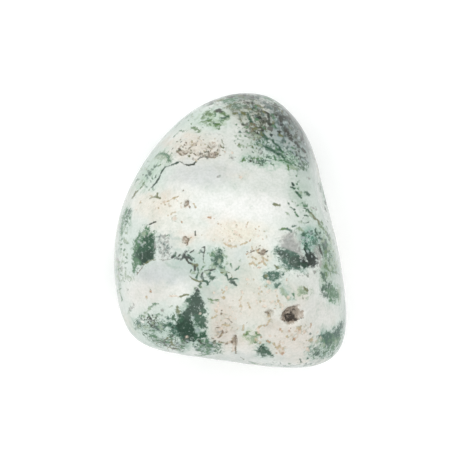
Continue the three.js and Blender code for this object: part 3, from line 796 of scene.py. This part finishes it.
# Painted shade: the band where the surface turns edge on is darkened.
rim_painted_shade = 1 - smooth(np.abs(lump_normals[:, 2] - 0.05), 0.08, 0.4)
ground *= 1 - rim_painted_shade[:, None] * RIM_PAINTED_SHADE
warm = smooth(ground[:, 0] - ground[:, 2], 0.03, 0.22)
froth = spot_field(FROTH, 3, 0.7)
# Painted shade for the big cavity's inner hollows.
cavity_dark = spot_field(CAVITY_PAINTED_SHADE_SPOTS, 0.6, 0.7)

# Cavities that stayed open: place in millimetres from the middle, half sizes, turn in degrees and depth,
# with how brown each is. The first is the large one.
CAVITIES = [
    (6.65, -9.1, 1.2, 1.05, 20, 0.95, 1), (-4.9, 8.4, 0.55, 0.4, 35, 0.4, 0.35),
    (-3.9, 9.3, 0.5, 0.35, 10, 0.35, 0.3), (-3.2, 8.1, 0.6, 0.35, -15, 0.4, 0.35),
    (-1.9, 9.2, 0.45, 0.45, 0, 0.35, 0.3), (-1.9, 8.1, 0.6, 0.4, 20, 0.45, 0.5),
    (-4.7, 2.85, 0.4, 0.3, 60, 0.35, 0.5), (-4.8, -1.05, 0.45, 0.35, 100, 0.35, 0.45),
    (3.6, -2.4, 0.4, 0.25, 50, 0.3, 0.6), (4.15, -8.9, 0.45, 0.4, 0, 0.35, 0.3),
    (0.55, -12, 1, 0.22, 92, 0.4, 0.5),
]
CAVITY_REACH = 3
RAGGEDNESS = 0.22
FLOOR_UNEVENNESS = 0.3
cavity = np.zeros(len(lump))
brown_cavity = np.zeros(len(lump))
sunk = np.zeros(len(lump))
ragged = cloud(lump, 0.8, 41)
for across, along, half_across, half_along, turn, depth, brown in CAVITIES:
    spot = upward[np.argmin(((lump[upward, :2] - (across, along)) ** 2).sum(axis=1))]
    facing = lump_normals[spot]
    side = np.cross((0, 1, 0), facing)
    side /= np.linalg.norm(side)
    rise = np.cross(facing, side)
    turned = math.radians(turn)
    away = lump - lump[spot]
    first = away @ (side * math.cos(turned) + rise * math.sin(turned)) / half_across
    second = away @ (rise * math.cos(turned) - side * math.sin(turned)) / half_along
    third = away @ facing / CAVITY_REACH
    out = np.sqrt(first ** 2 + second ** 2 + third ** 2) * (1 + RAGGEDNESS * ragged)
    inside = 1 - smooth(out, 0.55, 1.1)
    sunk = np.maximum(sunk, depth * inside * (1 + FLOOR_UNEVENNESS * cloud(lump, 0.35, 42, 2)))
    cavity = np.maximum(cavity, inside)
    brown_cavity = np.maximum(brown_cavity, brown * (1 - smooth(out, 0.75, 1.15)))

# Crusts, where the polish didn't reach the bottom of a pinkish, pitted growth: centre, half sizes across
# and down on the plan, and how rough.
CRUSTS = [(201, 148, 24, 11, 1.0), (258, 256, 9, 12, 0.75), (226, 331, 14, 11, 0.6), (268, 311, 6, 6, 0.6),
          (188, 204, 8, 6, 0.5), (211, 217, 7, 4, 0.5), (187, 239, 7, 6, 0.6), (297, 330, 12, 8, 0.35)]
crust = spot_field(CRUSTS, 2, 0.7)

# The relief over the lump, in millimetres: a faint swell, rough crusts, pits in them and the cavities.
SWELL = 0.035
CRUST_ROUGHNESS = 0.06
PIT_DEPTH = 0.14
pitting = smooth(cloud(lump, 0.42, 52), 0.2, 0.9) * crust
relief = SWELL * cloud(lump, 2.2, 51) + CRUST_ROUGHNESS * crust * cloud(lump, 0.8, 53)
relief = relief - PIT_DEPTH * pitting - sunk
shape = lump + lump_normals * relief[:, None]

# Below the table the stone is worn flat, and the edge of the flat is rounded.
blend_up = (shape[:, 2] + FLAT_EDGE) ** 2 / (4 * FLAT_EDGE)
rounded = np.where(shape[:, 2] < FLAT_EDGE, blend_up, shape[:, 2])
shape[:, 2] = np.where(shape[:, 2] < -FLAT_EDGE, 0, rounded)

stone_mesh = bpy.data.meshes.new("tumbled_stone")
stone_mesh.from_pydata((shape * 0.001).tolist(), [], quads.tolist())
stone_mesh.polygons.foreach_set("use_smooth", np.ones(len(quads), dtype=bool))
measures = {
    "moss_cover": moss["cover"], "moss_firm": moss["firm"], "moss_thready": moss["thready"],
    "veil_cover": veil["cover"], "froth": froth, "cavity_dark": cavity_dark, "cavity": cavity,
    "brown_cavity": brown_cavity, "crust": crust, "pitting": pitting, "near_green": near_green, "warm": warm,
}
for name, values in measures.items():
    stone_mesh.attributes.new(name, "FLOAT", "POINT").data.foreach_set("value", values)
for name, values in (("moss_ink", moss["ink"]), ("veil_ink", veil["ink"]), ("ground", ground)):
    colours = np.column_stack([values, np.ones(len(values))])
    stone_mesh.attributes.new(name, "FLOAT_COLOR", "POINT").data.foreach_set("color", colours.ravel())
stone_mesh.update()
stone = bpy.data.objects.new("tumbled_stone", stone_mesh)
bpy.context.scene.collection.objects.link(stone)

# Polished agate. The mesh says where each marking lies, and the nodes give it its ragged grown edge,
# its speckle and its bubbles, in millimetres of the stone.
agate = bpy.data.materials.new("polished_tree_agate")
agate.use_nodes = True
tree = agate.node_tree
tree.nodes.clear()


def add(kind, inputs=(), **settings):
    """One shader node with its settings and inputs, where an input is a socket or a plain value."""
    node = tree.nodes.new(kind)
    for name, value in settings.items():
        setattr(node, name, value)
    for name, value in dict(inputs).items():
        if isinstance(value, bpy.types.NodeSocket):
            tree.links.new(value, node.inputs[name])
        else:
            node.inputs[name].default_value = value
    return node


def stored(name, output="Fac"):
    """What the mesh keeps under this name: a measure, or a colour with output Color."""
    return add("ShaderNodeAttribute", attribute_name=name).outputs[output]


def calculate(operation, first, second=0.0):
    """One sum on two sockets or numbers."""
    return add("ShaderNodeMath", {0: first, 1: second}, operation=operation).outputs[0]


def plus(first, second):
    """first + second."""
    return calculate("ADD", first, second)


def minus(first, second):
    """first - second."""
    return calculate("SUBTRACT", first, second)


def times(first, second):
    """first * second."""
    return calculate("MULTIPLY", first, second)


def stepped(value, low, high, least=0.0, most=1.0):
    """A smooth step of value from least at low to most at high."""
    inputs = {"Value": value, "From Min": low, "From Max": high, "To Min": least, "To Max": most}
    return add("ShaderNodeMapRange", inputs, interpolation_type="SMOOTHSTEP").outputs[0]


def blended(share, under, over, mode="MIX"):
    """under with a share of over laid on it."""
    inputs = {0: share, 6: under, 7: over}
    return add("ShaderNodeMix", inputs, data_type="RGBA", blend_type=mode).outputs[2]


def speckle(per_mm, detail=3.0, rough=0.6, bent=0.0):
    """Noise from 0 to 1 with about this many spots to a millimetre."""
    inputs = {"Vector": in_mm, "Scale": per_mm, "Detail": detail, "Roughness": rough, "Distortion": bent}
    return add("ShaderNodeTexNoise", inputs).outputs[0]


place = add("ShaderNodeTexCoord").outputs["Object"]
in_mm = add("ShaderNodeMapping", {"Vector": place, "Scale": (1000.0, 1000.0, 1000.0)}).outputs[0]
fine = stepped(speckle(2.6, 3, 0.65, 0.4), 0.3, 0.7)
middling = stepped(speckle(0.9, 3, 0.6, 0.3), 0.3, 0.7)
broad = speckle(0.28, 3, 0.55)
grit = speckle(9.0, 2, 0.6)
grain = stepped(speckle(3.8, 2, 0.6), 0.34, 0.66)

# Threads run where a soft noise passes through its middle value. Solid patches grow by the noise itself.
long_thread = calculate("ABSOLUTE", minus(speckle(1.35, 2, 0.55, 0.6), 0.5))
short_thread = calculate("ABSOLUTE", minus(speckle(2.4, 2, 0.6, 0.4), 0.47))
long_share = stepped(long_thread, 0.012, 0.06, 1.0, 0.0)
short_share = stepped(short_thread, 0.01, 0.05, 0.85, 0.0)
threads = calculate("MAXIMUM", long_share, short_share)
thready_growth = plus(times(threads, 0.7), times(fine, 0.3))
solid_growth = plus(times(fine, 0.55), times(middling, 0.25))
solid_growth = plus(solid_growth, times(grain, 0.2))
thready = stored("moss_thready")
growth = times(minus(thready_growth, solid_growth), thready)
wander = minus(plus(growth, solid_growth), 0.48)
swing = plus(stepped(stored("moss_firm"), 0.0, 1.0, 1.0, 0.4), times(thready, 0.7))
present = stepped(stored("moss_cover"), 0.0, 0.16)
moss_wander = times(times(wander, swing), present)
moss_reach = plus(stored("moss_cover"), moss_wander)
moss_share = stepped(moss_reach, 0.26, 0.64)
moss_heart = stepped(moss_reach, 0.5, 0.85)
veil_wander = minus(plus(times(middling, 0.5), times(fine, 0.5)), 0.5)
veil_reach = plus(stored("veil_cover"), veil_wander)
veil_share = stepped(veil_reach, 0.15, 1.0, 0.0, 0.75)

# The ground has a fine grain, and in its warm parts rust freckles and hair-thin brown lines.
dulled = stepped(middling, 0.2, 0.9, 0.0, 0.4)
clouded = blended(dulled, stored("ground", "Color"), (0.86, 0.88, 0.85, 1), "MULTIPLY")
clouded = blended(stepped(grain, 0.0, 1.0, 0.0, 0.5), clouded, (0.84, 0.86, 0.84, 1), "MULTIPLY")
warm_share = stepped(stored("warm"), 0.05, 0.8, 0.04, 1.0)
stain = stepped(speckle(1.1, 4, 0.7, 1.2), 0.5, 0.66, 0.0, 0.4)
stained = blended(times(stain, warm_share), clouded, (0.72, 0.61, 0.48, 1))
freckle = stepped(speckle(2.9, 3, 0.7), 0.6, 0.7, 0.0, 0.5)
freckled = blended(times(freckle, warm_share), stained, (0.5, 0.35, 0.23, 1))
hair = calculate("ABSOLUTE", minus(speckle(0.75, 3, 0.7, 1.5), 0.5))
hair_share = times(stepped(hair, 0.0, 0.014, 0.5, 0.0), stepped(broad, 0.42, 0.58))
lined = blended(times(hair_share, warm_share), freckled, (0.36, 0.25, 0.16, 1))
spray_share = stepped(stored("near_green"), 0.4, 0.95, 0.0, 0.45)
spray = times(stepped(speckle(3.2, 2, 0.6), 0.58, 0.7), spray_share)
sprayed = blended(spray, lined, (0.2, 0.38, 0.26, 1))
veiled = blended(veil_share, sprayed, stored("veil_ink", "Color"))

# Froth: rounded cells with pale rims, of which a share are dark in the middle.
cell_bend = add("ShaderNodeTexNoise", {"Vector": in_mm, "Scale": 1.4, "Detail": 2.0}).outputs["Color"]
cell_shift = {0: cell_bend, 1: (0.8, 0.8, 0.8), 2: in_mm}
cell_place = add("ShaderNodeVectorMath", cell_shift, operation="MULTIPLY_ADD").outputs[0]
cell_inputs = {"Vector": cell_place, "Scale": 1.5, "Randomness": 1.0}
cell_colour = add("ShaderNodeTexVoronoi", cell_inputs, feature="F1").outputs["Color"]
cell_edge = add("ShaderNodeTexVoronoi", cell_inputs, feature="DISTANCE_TO_EDGE").outputs["Distance"]
cell_dice = add("ShaderNodeSeparateColor", {"Color": cell_colour})
froth_share = stepped(plus(stored("froth"), times(wander, 0.5)), 0.2, 0.7)
cell_rim = times(stepped(cell_edge, 0.0, 0.1, 0.3, 0.0), froth_share)
rimmed = blended(cell_rim, veiled, (0.5, 0.56, 0.52, 1))
cell_dark = times(stepped(cell_dice.outputs[0], 0.34, 0.5, 0.75, 0.0), stepped(cell_edge, 0.04, 0.16))
green_heart = stepped(cell_dice.outputs[1], 0.3, 0.7)
cell_heart = blended(green_heart, (0.06, 0.055, 0.04, 1), (0.08, 0.105, 0.065, 1))
frothed = blended(times(cell_dark, froth_share), rimmed, cell_heart)

# The ink is paler at a loose mark's edge and full in its heart, with pale painted glints there: specks that
# stand for highlights on the dark patches.
ink_pale = blended(0.45, stored("moss_ink", "Color"), veiled)
ink_deep = blended(stepped(fine, 0.5, 0.0, 0.0, 0.12), stored("moss_ink", "Color"), (0.2, 0.33, 0.25, 1))
ink_deep = blended(stepped(grain, 0.3, 1.0, 0.0, 0.35), ink_deep, (0.45, 0.5, 0.45, 1), "MULTIPLY")
firm_heart = calculate("MAXIMUM", moss_heart, stored("moss_firm"))
moss_colour = blended(firm_heart, ink_pale, ink_deep)
marked = blended(times(moss_share, 0.95), frothed, moss_colour)
# Painted highlight: pale glint specks in the hearts of the marks.
painted_glint = times(stepped(speckle(3.6, 1, 0.5), 0.67, 0.73, 0.0, 0.55), moss_heart)
marked = blended(painted_glint, marked, (0.42, 0.5, 0.47, 1))

# Pits and open cavities are brown inside, and rough where the polish didn't reach.
pit_floor = blended(stepped(grit, 0.35, 0.6), (0.16, 0.1, 0.06, 1), (0.55, 0.43, 0.31, 1))
pitted = blended(times(stored("pitting"), 0.45), marked, pit_floor)
brown_edge = plus(stored("brown_cavity"), times(minus(fine, 0.5), 0.8))
brown_share = times(stepped(brown_edge, 0.2, 0.6), stepped(stored("brown_cavity"), 0.0, 0.3))
# The cavity's tone is pushed dark at its inner hollows by painted shade.
cavity_tone_less_shade = minus(speckle(1.6, 4, 0.8, 0.5), times(stored("cavity_dark"), 0.1))
cavity_colour = blended(stepped(cavity_tone_less_shade, 0.35, 0.53), (0.03, 0.021, 0.013, 1), (0.5, 0.43, 0.35, 1))
finished = blended(times(brown_share, 0.95), pitted, cavity_colour)

openness = calculate("MAXIMUM", stored("cavity"), times(stored("crust"), 0.5))
roughness = plus(stepped(middling, 0.0, 1.0, 0.16, 0.24), times(openness, 0.5))
height = plus(times(grit, 0.2), times(fine, 0.5))
height_share = stepped(openness, 0.0, 1.0, 0.04, 0.8)
bump = add("ShaderNodeBump", {"Strength": height_share, "Distance": 0.00012, "Height": height})
shader = add("ShaderNodeBsdfPrincipled", {
    "Base Color": finished, "Roughness": roughness, "IOR": 1.54, "Normal": bump.outputs[0]})
output = add("ShaderNodeOutputMaterial")
tree.links.new(shader.outputs[0], output.inputs["Surface"])
stone_mesh.materials.append(agate)

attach(stone, "root")
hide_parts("stone")


# The floor: a plain white table that the stone lies on, wide enough to fill every view.
FLOOR_HALF = 2.0
floor_mesh = bpy.data.meshes.new("floor")
floor_corners = [(-FLOOR_HALF, -FLOOR_HALF, 0), (FLOOR_HALF, -FLOOR_HALF, 0),
                 (FLOOR_HALF, FLOOR_HALF, 0), (-FLOOR_HALF, FLOOR_HALF, 0)]
floor_mesh.from_pydata(floor_corners, [], [(0, 1, 2, 3)])
floor = bpy.data.objects.new("floor", floor_mesh)
bpy.context.scene.collection.objects.link(floor)
floor_paint = bpy.data.materials.new("matt_white_table")
floor_paint.use_nodes = True
floor_shader = floor_paint.node_tree.nodes["Principled BSDF"]
floor_shader.inputs["Base Color"].default_value = (0.93, 0.93, 0.93, 1)
floor_shader.inputs["Roughness"].default_value = 0.9
floor_shader.inputs["Specular IOR Level"].default_value = 0.0
floor_shader.inputs["Emission Color"].default_value = (1, 1, 1, 1)
floor_shader.inputs["Emission Strength"].default_value = 0.22
floor_mesh.materials.append(floor_paint)


# The camera: straight above, on a long lens, so that one pixel is one plan step at the widest level.
SENSOR = 36.0
VIEW_PIXELS = 460
camera_data = bpy.data.cameras.new("camera")
camera_data.sensor_width = SENSOR
camera_data.lens = SENSOR * CAMERA_HEIGHT / (VIEW_PIXELS * PLAN_STEP)
camera_data.clip_start = 0.01
camera = bpy.data.objects.new("camera", camera_data)
camera.location = (0, 0, (CAMERA_HEIGHT + MIDDLE_HEIGHT) * 0.001)
bpy.context.scene.collection.objects.link(camera)
bpy.context.scene.camera = camera


# The lights: one broad soft panel overhead, whose faint reflection covers the stone's upper side, and
# an even pale room around the table.
panel_data = bpy.data.lights.new("panel", "AREA")
panel_data.shape = "DISK"
panel_data.size = 1.2
panel_data.energy = 3.7
panel = bpy.data.objects.new("panel", panel_data)
panel.location = (-0.05, 0.02, 0.5)
panel.rotation_euler = (math.radians(-2), math.radians(-6), 0)
bpy.context.scene.collection.objects.link(panel)
world = bpy.data.worlds.new("pale_room")
world.use_nodes = True
world.node_tree.nodes["Background"].inputs["Color"].default_value = (0.97, 0.98, 1.0, 1)
world.node_tree.nodes["Background"].inputs["Strength"].default_value = 0.43
bpy.context.scene.world = world
bpy.context.scene.view_settings.view_transform = "Standard"
